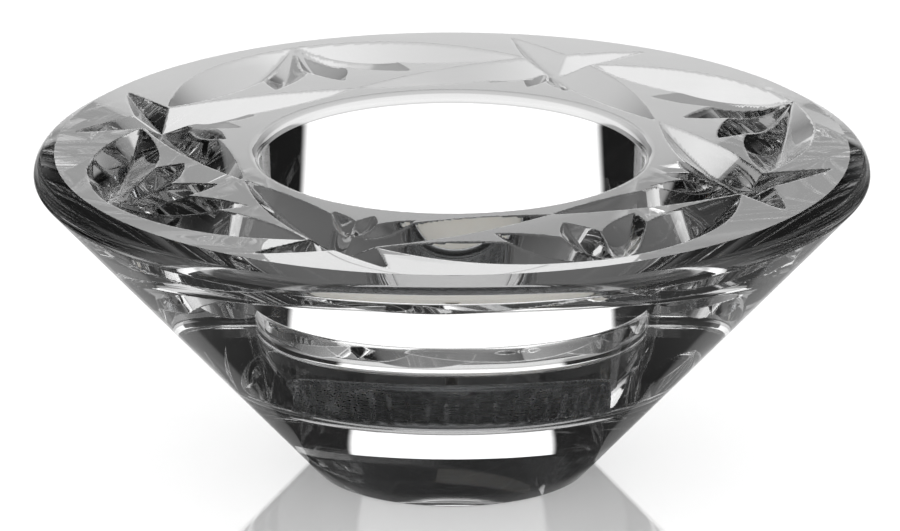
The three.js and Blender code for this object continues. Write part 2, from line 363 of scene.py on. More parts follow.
def add(tree, kind, settings=None, **inputs):
    """Adds a node: settings are its own attributes, and inputs are values or sockets to link from.

    An input goes by its socket's name, or by its number after an underscore.
    """
    node = tree.nodes.new(kind)
    for key, value in (settings or {}).items():
        setattr(node, key, value)
    for key, value in inputs.items():
        socket = node.inputs[int(key[1:]) if key[0] == "_" else key.replace("_", " ")]
        if isinstance(value, bpy.types.NodeSocket):
            tree.links.new(value, socket)
        else:
            socket.default_value = value
    return node


def new_material(name):
    """A material with only a Principled shader and its output."""
    material = bpy.data.materials.new(name)
    material.use_nodes = True
    tree = material.node_tree
    tree.nodes.clear()
    shader = add(tree, "ShaderNodeBsdfPrincipled")
    add(tree, "ShaderNodeOutputMaterial", Surface=shader.outputs["BSDF"])
    return material, tree, shader


def rounded_profile(corners, rounds, run_steps):
    """A profile of straight runs joined by tangent arcs, each with a radius and a number of steps.

    Each inner corner is replaced by an arc of its radius that touches both runs, a tangent length of
    radius times the tangent of half the turn from the corner. Returns points and outward normals,
    the normal being the direction of travel turned a quarter to the right.
    """
    corners = np.asarray(corners, float)
    runs = np.diff(corners, axis=0)
    heading = np.unwrap(np.arctan2(runs[:, 1], runs[:, 0]))
    points, normals = [], []
    start = corners[0]
    for k in range(len(runs)):
        direction = np.array([math.cos(heading[k]), math.sin(heading[k])])
        last = k == len(runs) - 1
        turn = 0.0 if last else heading[k + 1] - heading[k]
        radius, arc_steps = (0.0, 0) if last else rounds[k]
        end = corners[k + 1] - radius * math.tan(abs(turn) / 2) * direction
        share = np.linspace(0, 1, run_steps[k] + 1)[(0 if k == 0 else 1):]
        points.append(start + share[:, None] * (end - start))
        normals.append(np.tile([direction[1], -direction[0]], (len(share), 1)))
        if last:
            break
        side = math.copysign(1.0, turn)
        centre = end + radius * side * np.array([-direction[1], direction[0]])
        angle = heading[k] + np.linspace(0, turn, arc_steps + 1)[1:]
        normal = np.stack([np.sin(angle), -np.cos(angle)], axis=1)
        points.append(centre + radius * side * normal)
        normals.append(normal)
        start = points[-1][-1]
    return np.concatenate(points), np.concatenate(normals)


def revolve(profile, columns):
    """Radius and height turned about Z: x = r cos a, y = r sin a, z = h, on a grid of rings by angles."""
    angle = np.linspace(0, 2 * math.pi, columns, endpoint=False)
    radius = profile[:, 0, None]
    height = np.repeat(profile[:, 1, None], columns, axis=1)
    return np.stack([radius * np.cos(angle), radius * np.sin(angle), height], axis=2)


def grid_object(name, grid, normals=None, ring=False, turned=None):
    """A closed mesh from a grid of points, rows by columns, in millimetres.

    Columns join round. A ring's last row joins its first; any other surface is closed by one middle
    point at each end. Where turned says which way each square's diagonal runs, squares become triangles.
    """
    rows, columns = grid.shape[:2]
    row = np.arange(rows if ring else rows - 1)[:, None]
    column = np.arange(columns)[None, :]
    beside = (column + 1) % columns
    above = (row + 1) % rows
    quads = np.stack([row * columns + column, row * columns + beside,
                      above * columns + beside, above * columns + column], axis=2).reshape(-1, 4)
    vertices = grid.reshape(-1, 3)
    faces = quads.tolist()
    if turned is not None:
        quads = np.where(turned.reshape(-1, 1), np.roll(quads, -1, axis=1), quads)
        faces = quads[:, (0, 1, 2)].tolist() + quads[:, (0, 2, 3)].tolist()
    if not ring:
        first, last = rows * columns, rows * columns + 1
        vertices = np.vstack([vertices, grid[0].mean(axis=0), grid[-1].mean(axis=0)])
        index = np.arange(columns)
        index_beside = (index + 1) % columns
        top = (rows - 1) * columns
        faces += np.stack([np.full(columns, first), index_beside, index], axis=1).tolist()
        faces += np.stack([np.full(columns, last), top + index, top + index_beside], axis=1).tolist()
    mesh = bpy.data.meshes.new(name)
    mesh.from_pydata((vertices * MM).tolist(), [], faces)
    mesh.shade_smooth()
    if normals is not None:
        flat = normals.reshape(-1, 3)
        if not ring:
            ends = np.stack([normals[0].mean(axis=0), normals[-1].mean(axis=0)])
            flat = np.vstack([flat, ends / np.linalg.norm(ends, axis=1, keepdims=True)])
        mesh.normals_split_custom_set_from_vertices(flat.tolist())
    made = bpy.data.objects.new(name, mesh)
    bpy.context.scene.collection.objects.link(made)
    return made


def finish_piece(piece, material, body, node):
    """Gives a piece its material, puts it under its body's empty and hides the CAD part that it stands for.
    """
    piece.data.materials.append(material)
    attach(piece, body)
    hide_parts(node)


def leaf_places(glass):
    """Root, tip and breadth of every leaf in millimetres: two fans and a crossing pair at each repeat."""
    width = glass.flat_outer - glass.flat_inner
    pitch = 360 / REPEATS

    def on_flat(angle, share):
        radius = glass.flat_inner + share * width
        turn = math.radians(angle)
        return radius * math.sin(turn), -radius * math.cos(turn)

    leaves = []
    for repeat in range(REPEATS):
        large = math.degrees(glass.first_fan_angle) + repeat * pitch
        small = large + pitch / 2
        for axis, root, fan in ((large, LARGE_FAN_ROOT, LARGE_FAN_LEAVES),
                                (small, SMALL_FAN_ROOT, SMALL_FAN_LEAVES)):
            for turn, tip, breadth in fan:
                for side in ((0,) if turn == 0 else (-1, 1)):
                    leaves.append((*on_flat(axis, root), *on_flat(axis + side * turn * pitch, tip),
                                   breadth * width))
        for side in (-1, 1):
            inner = on_flat(small - side * CROSS_LEAF_INNER[0] * pitch, CROSS_LEAF_INNER[1])
            outer = on_flat(small + side * CROSS_LEAF_OUTER[0] * pitch, CROSS_LEAF_OUTER[1])
            leaves.append((*inner, *outer, CROSS_LEAF_BREADTH * width))
    return np.array(leaves)


def leaf_cuts(x, y, glass):
    """Depth of each flank of each leaf cut at each point, and its slopes along X and Y, the flat first.

    A leaf is a mitre cut: two sloping flanks that meet in a valley along it. At s along the leaf, from
    -1 to 1, it reaches half a breadth times (1 - s squared) to each side, and at t across, a flank lies
    as deep as its slope times the reach less t, or the reach plus t for the other flank. Of the two, the
    shallower is the cut. All left flanks come before all right flanks.
    """
    places = leaf_places(glass).T.reshape(5, -1, *([1] * x.ndim))
    root_x, root_y, tip_x, tip_y, breadth = places
    half = breadth / 2
    steep = 2 * glass.leaf_depth_ratio
    length = np.hypot(tip_x - root_x, tip_y - root_y) / 2
    along_x, along_y = (tip_x - root_x) / (2 * length), (tip_y - root_y) / (2 * length)
    dx, dy = x - (root_x + tip_x) / 2, y - (root_y + tip_y) / 2
    s = (dx * along_x + dy * along_y) / length
    t = dy * along_x - dx * along_y
    reach = half * (1 - s ** 2)
    by_s = -2 * half * s * steep / length
    flat = np.zeros((1, *x.shape))
    depth, slope_x, slope_y = [flat], [flat], [flat]
    for side in (1, -1):
        by_t = -side * steep
        depth.append(steep * (reach - side * t))
        slope_x.append(by_s * along_x - by_t * along_y)
        slope_y.append(by_s * along_y + by_t * along_x)
    return [np.concatenate(fields) for fields in (depth, slope_x, slope_y)]


def deepest(depth):
    """Which flank, or the flat, is the surface at each point, and how deep it lies."""
    left, right = np.split(depth[1:], 2)
    leaves = np.minimum(left, right)
    best = leaves.argmax(axis=0)
    flank = np.where(pick(left, best) < pick(right, best), best, best + len(left))
    lowest = leaves.max(axis=0)
    return np.where(lowest > 0, flank + 1, 0), np.maximum(lowest, 0)


def pick(fields, cut):
    """From each point's list of values, one per cut, the value of the cut that is named for it."""
    return np.take_along_axis(fields, cut[None], axis=0)[0]


def onto_ridges(x, y, glass):
    """Moves points of a grid onto the ridges and valleys where two flanks, or a flank and the flat, meet.

    Between two neighbours on different flanks the difference of the flanks' depths runs through zero,
    and the nearer neighbour moves there.
    """
    depth = leaf_cuts(x, y, glass)[0]
    own = deepest(depth)[0]
    nearest = np.full(x.shape, np.inf)
    new_x, new_y = x.copy(), y.copy()
    for step, axis in ((1, -1), (-1, -1), (1, -2), (-1, -2)):
        beside = np.roll(own, step, axis)
        depth_beside = np.roll(depth, step, axis)
        here = pick(depth, own) - pick(depth, beside)
        there = pick(depth_beside, own) - pick(depth_beside, beside)
        crosses = (own != beside) & (here * there < 0)
        share = np.where(crosses, here, 1) / np.where(crosses, here - there, 1)
        run_x, run_y = np.roll(x, step, axis) - x, np.roll(y, step, axis) - y
        move = share * np.hypot(run_x, run_y)
        better = (share <= 0.5) & (move < nearest)
        nearest = np.where(better, move, nearest)
        new_x = np.where(better, x + share * run_x, new_x)
        new_y = np.where(better, y + share * run_y, new_y)
    return new_x, new_y


def cut_flat(x, y, glass):
    """The leaf-cut flat on a grid: places, depths, and which diagonal suits each square.

    Of a square's two diagonals, the better one has its middle nearer to the true surface.
    """
    x, y = onto_ridges(x, y, glass)
    depth = deepest(leaf_cuts(x, y, glass)[0])[1]
    miss = []
    for turned in (False, True):
        ends = [np.roll(part, -1, axis=1) if turned else part for part in (x, y, depth)]
        facing = [part if turned else np.roll(part, -1, axis=1) for part in (x, y, depth)]
        mid_x, mid_y, mid_depth = [(a[:-1] + b[1:]) / 2 for a, b in zip(ends, facing)]
        miss.append(np.abs(deepest(leaf_cuts(mid_x, mid_y, glass)[0])[1] - mid_depth))
    return x, y, depth, miss[1] < miss[0]


def crease_leaves(mesh, first_row, x, y, glass):
    """Gives each triangle of the flat the normals of its own flank, eased where flanks meet.

    A flank's normal is its slopes along X and Y with one upward, brought to unit length. Polishing eases
    a ridge or valley, so there the normal lies part of the way to the mean of all that meet at the point.
    """
    rows, columns = x.shape
    corners = np.empty(len(mesh.loops), np.int32)
    mesh.loops.foreach_get("vertex_index", corners)
    normals = np.empty(3 * len(corners), np.float32)
    mesh.corner_normals.foreach_get("vector", normals)
    normals = normals.reshape(-1, 3, 3)
    place = corners.reshape(-1, 3) - first_row * columns
    on_flat = ((place >= 0) & (place < rows * columns)).all(axis=1)
    row, column = np.divmod(place[on_flat], columns)
    middle_x, middle_y = x[row, column].mean(axis=1), y[row, column].mean(axis=1)
    flank = deepest(leaf_cuts(middle_x, middle_y, glass)[0])[0][:, None]
    slope_x, slope_y = leaf_cuts(x, y, glass)[1:]
    tilt = np.stack([slope_x[flank, row, column], slope_y[flank, row, column], np.ones(row.shape)], axis=2)
    tilt /= np.linalg.norm(tilt, axis=2, keepdims=True)
    mean = np.zeros((rows * columns, 3))
    np.add.at(mean, place[on_flat], tilt)
    mean /= np.linalg.norm(mean, axis=1, keepdims=True)
    tilt += glass.ridge_ease * (mean[place[on_flat]] - tilt)
    normals[on_flat] = tilt / np.linalg.norm(tilt, axis=2, keepdims=True)
    mesh.normals_split_custom_set(normals.reshape(-1, 3).tolist())


def crystal():
    """Crystal glass, pressed, cut and polished: clear and heavy, so that it throws bright and dark
    bands of its surround. Polishing leaves a faint waviness in its reflections, and standing on tables
    has scuffed the ring of its base."""
    glass = bpy.context.scene.votive_glass
    material, tree, shader = new_material("crystal_glass_cut_polished")
    shader.inputs["Base Color"].default_value = linear(glass.colour)
    shader.inputs["Transmission Weight"].default_value = 1.0
    shader.inputs["IOR"].default_value = 1.51
    place = add(tree, "ShaderNodeTexCoord").outputs["Object"]
    waves = add(tree, "ShaderNodeTexNoise", Vector=place, Scale=per_metre(glass.polish_wave), Detail=1.0)
    relief = add(tree, "ShaderNodeBump", Height=waves.outputs[0], Distance=glass.polish_depth * MM)
    tree.links.new(relief.outputs[0], shader.inputs["Normal"])
    height = add(tree, "ShaderNodeSeparateXYZ", Vector=place).outputs["Z"]
    low, high = SCUFF_BAND
    ring = add(tree, "ShaderNodeMapRange", SMOOTH, Value=height, From_Min=low * MM, From_Max=high * MM,
               To_Min=SCUFF_ROUGHNESS, To_Max=0.0)
    scuffs = add(tree, "ShaderNodeTexNoise", Vector=place, Scale=per_metre(SCUFF_BREADTH), Detail=4.0)
    rough = add(tree, "ShaderNodeMath", MULTIPLY, _0=ring.outputs[0], _1=scuffs.outputs[0])
    tree.links.new(rough.outputs[0], shader.inputs["Roughness"])
    return material


def aluminium():
    """Aluminium sheet, rolled and pressed: bright, with the fine lines of rolling along X and shallow
    dents from the press that break up what it mirrors. The lines are drawn 0.3 mm apart, ten times as
    coarse as real ones, so that they show."""
    tealight = bpy.context.scene.votive_tealight
    material, tree, shader = new_material("aluminium_pressed_sheet")
    shader.inputs["Base Color"].default_value = linear(tealight.aluminium)
    shader.inputs["Metallic"].default_value = 1.0
    place = add(tree, "ShaderNodeTexCoord").outputs["Object"]
    drawn = add(tree, "ShaderNodeMapping", Vector=place, Scale=LINE_DRAWN)
    lines = add(tree, "ShaderNodeTexNoise", Vector=drawn.outputs[0], Scale=per_metre(LINE_BREADTH),
                Detail=3.0)
    rough = add(tree, "ShaderNodeMapRange", Value=lines.outputs[0], **NOISE_SPAN, To_Min=0.16, To_Max=0.32)
    tree.links.new(rough.outputs[0], shader.inputs["Roughness"])
    dents = add(tree, "ShaderNodeTexNoise", Vector=place, Scale=per_metre(DENT_BREADTH), Detail=2.0)
    pressed = add(tree, "ShaderNodeBump", Height=dents.outputs[0], Distance=DENT_DEPTH * MM)
    rolled = add(tree, "ShaderNodeBump", Height=lines.outputs[0], Distance=LINE_DEPTH * MM,
                 Normal=pressed.outputs[0])
    tree.links.new(rolled.outputs[0], shader.inputs["Normal"])
    return material


def paraffin():
    """Paraffin wax, poured and cooled: white and slightly see-through, clouded where it set unevenly,
    with a satin, faintly pitted skin."""
    tealight = bpy.context.scene.votive_tealight
    material, tree, shader = new_material("paraffin_wax_poured")
    shader.inputs["IOR"].default_value = 1.43
    shader.inputs["Subsurface Weight"].default_value = 0.3
    shader.inputs["Subsurface Radius"].default_value = (1.0, 0.8, 0.6)
    shader.inputs["Subsurface Scale"].default_value = WAX_SCATTER * MM
    place = add(tree, "ShaderNodeTexCoord").outputs["Object"]
    clouds = add(tree, "ShaderNodeTexNoise", Vector=place, Scale=per_metre(CLOUD_BREADTH), Detail=3.0)
    tone = add(tree, "ShaderNodeMix", {"data_type": "RGBA"}, _0=clouds.outputs[0],
               _6=linear(tealight.wax_clouded), _7=linear(tealight.wax))
    tree.links.new(tone.outputs[2], shader.inputs["Base Color"])
    pits = add(tree, "ShaderNodeTexNoise", Vector=place, Scale=per_metre(PIT_BREADTH), Detail=4.0)
    rough = add(tree, "ShaderNodeMapRange", Value=pits.outputs[0], **NOISE_SPAN, To_Min=0.32, To_Max=0.52)
    tree.links.new(rough.outputs[0], shader.inputs["Roughness"])
    relief = add(tree, "ShaderNodeBump", Height=pits.outputs[0], Distance=PIT_DEPTH * MM)
    tree.links.new(relief.outputs[0], shader.inputs["Normal"])
    return material


def cotton():
    """Cotton, braided, waxed and burnt once: cream strands in the wax, charred black above it, with the
    fuzz of fibres drawn 0.15 mm apart, several times as coarse as real ones, so that it shows."""
    tealight = bpy.context.scene.votive_tealight
    material, tree, shader = new_material("cotton_braided_charred")
    shader.inputs["Sheen Weight"].default_value = 0.2
    place = add(tree, "ShaderNodeTexCoord").outputs["Object"]
    drawn = add(tree, "ShaderNodeMapping", Vector=place, Scale=FIBRE_DRAWN)
    fibres = add(tree, "ShaderNodeTexNoise", Vector=drawn.outputs[0], Scale=per_metre(FIBRE_BREADTH),
                 Detail=3.0)
    height = add(tree, "ShaderNodeSeparateXYZ", Vector=place).outputs["Z"]
    ragged = add(tree, "ShaderNodeMath", {"operation": "MULTIPLY_ADD"}, _0=fibres.outputs[0],
                 _1=CHAR_RAGGED * MM, _2=height)
    low, high = CHAR_BAND
    burnt = add(tree, "ShaderNodeMapRange", SMOOTH, Value=ragged.outputs[0], From_Min=wax_high.z + low * MM,
                From_Max=wax_high.z + high * MM)
    tone = add(tree, "ShaderNodeMix", {"data_type": "RGBA"}, _0=burnt.outputs[0],
               _6=linear(tealight.cotton), _7=linear(tealight.char))
    tree.links.new(tone.outputs[2], shader.inputs["Base Color"])
    rough = add(tree, "ShaderNodeMapRange", Value=fibres.outputs[0], To_Min=0.7, To_Max=0.95)
    tree.links.new(rough.outputs[0], shader.inputs["Roughness"])
    relief = add(tree, "ShaderNodeBump", Height=fibres.outputs[0], Distance=FIBRE_DEPTH * MM)
    tree.links.new(relief.outputs[0], shader.inputs["Normal"])
    return material


def tinned_steel():
    """Tinned steel, rolled and stamped: dull silver, with rolling lines along Y and a soft bloom where
    the tin has dulled. The lines are drawn 0.25 mm apart, coarser than real ones, so that they show."""
    tealight = bpy.context.scene.votive_tealight
    material, tree, shader = new_material("tinned_steel_stamped")
    shader.inputs["Metallic"].default_value = 1.0
    place = add(tree, "ShaderNodeTexCoord").outputs["Object"]
    bloom = add(tree, "ShaderNodeTexNoise", Vector=place, Scale=per_metre(BLOOM_BREADTH), Detail=3.0)
    tone = add(tree, "ShaderNodeMix", {"data_type": "RGBA"}, _0=bloom.outputs[0],
               _6=linear(tealight.tin_dulled), _7=linear(tealight.tin))
    tree.links.new(tone.outputs[2], shader.inputs["Base Color"])
    drawn = add(tree, "ShaderNodeMapping", Vector=place, Scale=TIN_LINE_DRAWN)
    lines = add(tree, "ShaderNodeTexNoise", Vector=drawn.outputs[0], Scale=per_metre(TIN_LINE_BREADTH),
                Detail=2.0)
    rough = add(tree, "ShaderNodeMapRange", Value=lines.outputs[0], **NOISE_SPAN, To_Min=0.28, To_Max=0.45)
    tree.links.new(rough.outputs[0], shader.inputs["Roughness"])
    relief = add(tree, "ShaderNodeBump", Height=lines.outputs[0], Distance=TIN_LINE_DEPTH * MM)
    tree.links.new(relief.outputs[0], shader.inputs["Normal"])
    return material


def acrylic():
    """White acrylic sheet, cast and polished: pale, with a soft mirror image of what stands on it.

    The camera sees a matt white, with painted light added near the object. Glass and metal see painted light
    and shade glowing from it: painted light behind the object and under its base, painted shade close beside
    it, a paler painted ring below the rim and, where the ray was never mirrored, painted light all round
    further out.
    """
    stage = bpy.context.scene.votive_stage
    material = bpy.data.materials.new("acrylic_white_polished_painted_glow")
    material.use_nodes = True
    tree = material.node_tree
    tree.nodes.clear()
    place = add(tree, "ShaderNodeTexCoord").outputs["Object"]
    axes = add(tree, "ShaderNodeSeparateXYZ", Vector=place)
    azimuth = add(tree, "ShaderNodeMath", {"operation": "ARCTAN2"}, _0=axes.outputs["X"],
                  _1=axes.outputs["Y"])
    away = add(tree, "ShaderNodeMath", {"operation": "ABSOLUTE"}, _0=azimuth.outputs[0])
    reach = add(tree, "ShaderNodeVectorMath", {"operation": "LENGTH"}, _0=place)
    measures = {"away": (away.outputs[0], math.radians(1)), "reach": (reach.outputs["Value"], MM)}
    shares = {}
    for name, (measure, first, last, before, after) in FLOOR_FADES.items():
        value, unit = measures[measure]
        shares[name] = add(tree, "ShaderNodeMapRange", SMOOTH, Value=value, From_Min=first * unit,
                           From_Max=last * unit, To_Min=before, To_Max=after).outputs[0]
    # Painted light and shade that glass and metal see on the floor, as an emission: bright behind the object
    # and under its base, dim beside it, paler in a ring below the rim.
    lit = add(tree, "ShaderNodeMath", MULTIPLY, _0=shares["lit"], _1=stage.painted_light_behind)
    ring = add(tree, "ShaderNodeMix", _0=shares["ring_start"], _2=stage.painted_shade_beside, _3=stage.painted_light_ring)
    beside = add(tree, "ShaderNodeMath", MULTIPLY, _0=ring.outputs[0], _1=shares["ring_end"])
    around = add(tree, "ShaderNodeMix", _0=shares["behind"], _2=beside.outputs[0], _3=lit.outputs[0])
    level = add(tree, "ShaderNodeMix", _0=shares["under"], _2=around.outputs[0], _3=stage.painted_light_beneath)
    path = add(tree, "ShaderNodeLightPath")
    # Painted light all round further out, where the ray was never mirrored.
    opened = add(tree, "ShaderNodeMath", LESS_THAN, _0=path.outputs["Glossy Depth"], _1=HALF_BOUNCE)
    for share in (shares["aside"], shares["far"], stage.painted_light_behind):
        opened = add(tree, "ShaderNodeMath", MULTIPLY, _0=opened.outputs[0], _1=share)
    level = add(tree, "ShaderNodeMath", {"operation": "MAXIMUM"}, _0=level.outputs[0],
                _1=opened.outputs[0])
    glow = add(tree, "ShaderNodeEmission", Color=WHITE, Strength=level.outputs[0])
    matt = add(tree, "ShaderNodeBsdfDiffuse", Color=linear(stage.floor_colour))
    # Painted light for the camera: the floor glows whiter near the object and less further out.
    lift = add(tree, "ShaderNodeMath", MULTIPLY, _0=shares["lift"], _1=stage.painted_floor_light)
    lifted = add(tree, "ShaderNodeEmission", Color=WHITE, Strength=lift.outputs[0])
    seen = add(tree, "ShaderNodeAddShader", _0=matt.outputs[0], _1=lifted.outputs[0])
    body = add(tree, "ShaderNodeMixShader", _0=path.outputs["Is Camera Ray"], _1=glow.outputs[0],
               _2=seen.outputs[0])
    gloss = add(tree, "ShaderNodeBsdfGlossy", Color=WHITE, Roughness=0.03)
    mixed = add(tree, "ShaderNodeMixShader", _0=stage.floor_gloss, _1=body.outputs[0],
                _2=gloss.outputs[0])
    add(tree, "ShaderNodeOutputMaterial", Surface=mixed.outputs[0])
    return material


class VOTIVE_OT_glass(bpy.types.Operator):
    """Builds the crystal body: a turned profile whose flat rim is lowered by the leaf cuts.

    The hollow under its base is a cap of a sphere, whose radius is the squares of the cap's radius and depth
    added and divided by twice the depth.
    """

    bl_idname = "votive.glass"
    bl_label = "Crystal body"

    def execute(self, context):
        glass = context.scene.votive_glass
        dome = (glass.recess_radius ** 2 + glass.recess_depth ** 2) / (2 * glass.recess_depth)
        dome_edge = math.asin(glass.recess_radius / dome)
        dome_angle = np.linspace(*DOME_SHARES, DOME_RINGS) * dome_edge
        dome_points = np.stack([dome * np.sin(dome_angle),
                                glass.recess_depth - dome * (1 - np.cos(dome_angle))], axis=1)
        dome_normals = np.stack([-np.sin(dome_angle), -np.cos(dome_angle)], axis=1)
        start = (glass.recess_radius - RECESS_RUN * math.cos(dome_edge), RECESS_RUN * math.sin(dome_edge))
        bevel_foot = glass.height - (glass.rim_radius - glass.flat_outer) * math.tan(glass.bevel_slope)
        corners = (start, (glass.recess_radius, 0), (glass.base_radius, 0),
                   (glass.rim_radius, glass.shoulder_height), (glass.rim_radius, bevel_foot),
                   (glass.flat_outer, glass.height), (glass.well_radius, glass.height),
                   (glass.well_foot_radius, glass.well_floor), (CENTRE_RING, glass.well_floor))
        run_steps = np.ones(len(corners) - 1, int)
        run_steps[corners.index((glass.flat_outer, glass.height))] = glass.flat_rings
        points, normals = rounded_profile(corners, list(GLASS_ROUNDS.values()), run_steps)
        points = np.concatenate([dome_points, points])
        normals = np.concatenate([dome_normals, normals])
        grid = revolve(points, glass.columns)
        shading = revolve(normals, glass.columns)
        top = np.flatnonzero(np.isclose(points[:, 1], glass.height))
        turned = np.zeros((len(points) - 1, glass.columns), bool)
        x, y, depth, turned[top[:-1]] = cut_flat(grid[top, :, 0], grid[top, :, 1], glass)
        grid[top] = np.stack([x, y, glass.height - depth], axis=2)
        piece = grid_object("glass_body", grid, shading, turned=turned)
        crease_leaves(piece.data, top[0], x, y, glass)
        finish_piece(piece, crystal(), "holder", "glass_holder")
        return {"FINISHED"}


class VOTIVE_OT_cup(bpy.types.Operator):
    """Builds the pressed aluminium cup: a turned sheet with a rolled rim.

    Flutes swell its side by a cosine of the angle, times the root of a half sine up the side. A smooth step
    raises the middle of its floor.
    """

    bl_idname = "votive.cup"
    bl_label = "Aluminium cup"

    def execute(self, context):
        tealight = context.scene.votive_tealight
        rim = millimetres(cup_high.x)
        foot_height = millimetres(cup_low.z)
        height = millimetres(cup_high.z) - foot_height
        side = rim - CUP_OVERHANG
        foot = side - CUP_DRAFT
        shoulder = height - CUP_BEAD
        sheet = tealight.sheet
        corners = ((CENTRE_RING, 0), (foot, 0), (side, shoulder), (rim, shoulder), (rim, height),
                   (side - sheet, height), (foot - sheet, sheet), (CENTRE_RING, sheet))
        points = rounded_profile(corners, list(CUP_ROUNDS.values()), CUP_RUN_STEPS)[0]
        grid = revolve(points, tealight.flutes * COLUMNS_PER_FLUTE)
        angle = np.arctan2(grid[:, :, 1], grid[:, :, 0])
        rise = np.clip((grid[:, :, 2] - FLUTE_FOOT) / (shoulder - FLUTE_FOOT - FLUTE_HEAD), 0, 1)
        window = np.sin(math.pi * rise) ** 0.5 * (grid[:, :, 2] < shoulder)
        swell = 1 + tealight.flute_depth * window * np.cos(tealight.flutes * angle) / rim
        grid[:, :, :2] *= swell[:, :, None]
        reach = np.hypot(grid[:, :, 0], grid[:, :, 1])
        middle = np.clip((foot - CUP_FLOOR_INSET - reach) / CUP_FLOOR_SLOPE, 0, 1)
        raised = CUP_FLOOR_RAISE * middle ** 2 * (3 - 2 * middle) * (grid[:, :, 2] < CUP_FLOOR_TOP)
        grid[:, :, 2] += foot_height + CUP_GAP + raised
        piece = grid_object("cup_shell", grid)
        finish_piece(piece, aluminium(), "tealight", "tealight_cup")
        return {"FINISHED"}


class VOTIVE_OT_wax(bpy.types.Operator):
    """Builds the poured wax: a turned disc with a bore for the wick.

    Its top sinks by a squared cosine of the distance from the axis, fading towards the foot by a power of
    the height.
    """

    bl_idname = "votive.wax"
    bl_label = "Wax"

    def execute(self, context):
        tealight = context.scene.votive_tealight
        radius = millimetres(wax_high.x)
        low, high = millimetres(wax_low.z), millimetres(wax_high.z)
        neck_roof, plate_roof = low + NECK_ROOF, low + PLATE_ROOF
        corners = ((PLATE_BORE, low), (radius - WAX_FOOT_INSET, low),
                   (radius - WAX_DRAFT, low + WAX_FOOT_RISE), (radius, high), (WICK_BORE, high),
                   (WICK_BORE, neck_roof), (NECK_BORE, neck_roof), (NECK_BORE, plate_roof),
                   (PLATE_BORE, plate_roof), (PLATE_BORE, low + PLATE_RUN))
        points = rounded_profile(corners, list(WAX_ROUNDS.values()), WAX_RUN_STEPS)[0]
        grid = revolve(points, WAX_COLUMNS)
        rise = (grid[:, :, 2] - low) / (high - low)
        reach = np.hypot(grid[:, :, 0], grid[:, :, 1]) / radius
        grid[:, :, 2] -= tealight.wax_dish * rise ** WAX_SINK_POWER * np.cos(reach * math.pi / 2) ** 2
        piece = grid_object("wax_disc", grid, ring=True)
        finish_piece(piece, paraffin(), "tealight", "tealight_wax")
        return {"FINISHED"}


class VOTIVE_OT_wick(bpy.types.Operator):
    """Builds the braided wick: a round section whose radius swells with its strands.

    The swell is the larger of two cosines of twice the angle, which wind up the wick opposite ways. Near the
    upper end the radius shrinks by the root of what is left of the length.
    """

    bl_idname = "votive.wick"
    bl_label = "Wick"

    def execute(self, context):
        radius = millimetres(wick_high.x)
        low, high = millimetres(wick_low.z), millimetres(wick_high.z)
        rise = np.linspace(0, 1, WICK_ROWS)[:, None]
        height = low + rise * (high - low)
        angle = np.linspace(0, 2 * math.pi, WICK_COLUMNS, endpoint=False)[None, :]
        twist = rise * (high - low) * 2 * math.pi / BRAID_LENGTH
        strands = np.maximum(np.abs(np.cos(2 * angle - twist)), np.abs(np.cos(2 * angle + twist)))
        end = np.clip((WICK_END - rise) / WICK_END_RUN, WICK_END_LEAST, 1) ** 0.5
        section = radius * (BRAID_CORE + BRAID_SWELL * strands) * end
        grid = np.stack([section * np.cos(angle), section * np.sin(angle),
                         np.repeat(height, WICK_COLUMNS, axis=1)], axis=2)
        piece = grid_object("wick_braid", grid)
        finish_piece(piece, cotton(), "tealight", "tealight_wick")
        return {"FINISHED"}


class VOTIVE_OT_sustainer(bpy.types.Operator):
    """Finishes the wick sustainer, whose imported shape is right, as stamped tinned steel"""

    bl_idname = "votive.sustainer"
    bl_label = "Wick sustainer"

    def execute(self, context):
        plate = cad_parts["wick_sustainer"]
        plate.data.materials.clear()
        plate.data.materials.append(tinned_steel())
        return {"FINISHED"}


